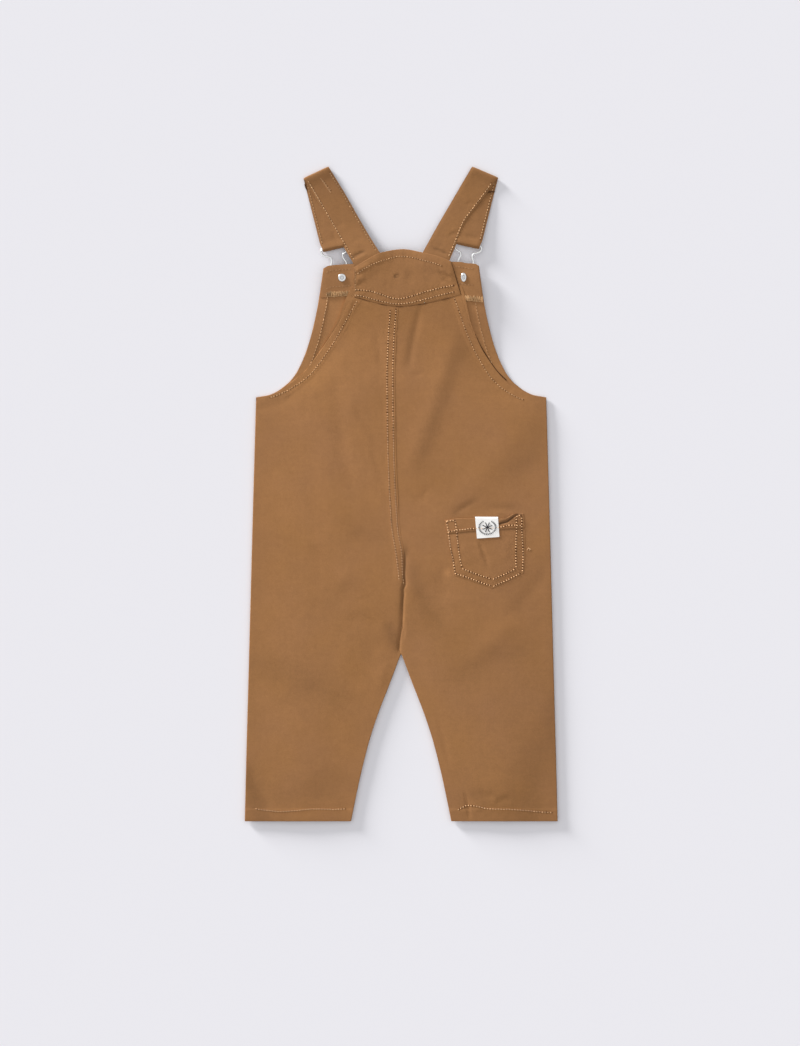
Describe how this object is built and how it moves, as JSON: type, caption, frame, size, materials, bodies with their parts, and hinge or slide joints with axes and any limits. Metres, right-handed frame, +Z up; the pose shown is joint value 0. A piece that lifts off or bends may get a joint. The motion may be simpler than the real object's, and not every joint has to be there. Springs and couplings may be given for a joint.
{
  "type": "dungarees",
  "caption": "Toddler's cotton-twill dungarees laid flat face down, with a domed back yoke, crossed-over folded straps, wire buckles and a patch pocket.",
  "frame": {"origin": "middle of the footprint, on the surface that the garment lies on", "axes": "+Y from the leg hems to the folds of the straps, +X to the right seen from above, +Z up out of the back"},
  "size_m": [0.2954, 0.6184, 0.0114],
  "materials": {
    "twill": "matt tan-brown cotton twill with tonal topstitching",
    "twill_inside": "inner side of the same twill, matt",
    "woven_label": "white woven label with a dark geometric motif",
    "wire": "bright plated round wire",
    "button_metal": "satin nickel-plated"
  },
  "bodies": {
    "root": {"front_left": "twill", "front_right": "twill", "bib_facing": "twill_inside", "back_left": "twill", "back_right": "twill", "back_yoke": "twill", "pocket": "twill", "label": "woven_label", "strap_left": "twill", "strap_right": "twill", "buckle_left": "wire", "buckle_right": "wire", "button_left": "button_metal", "button_right": "button_metal", "tack_left": "button_metal", "tack_right": "button_metal"}
  },
  "joints": []
}
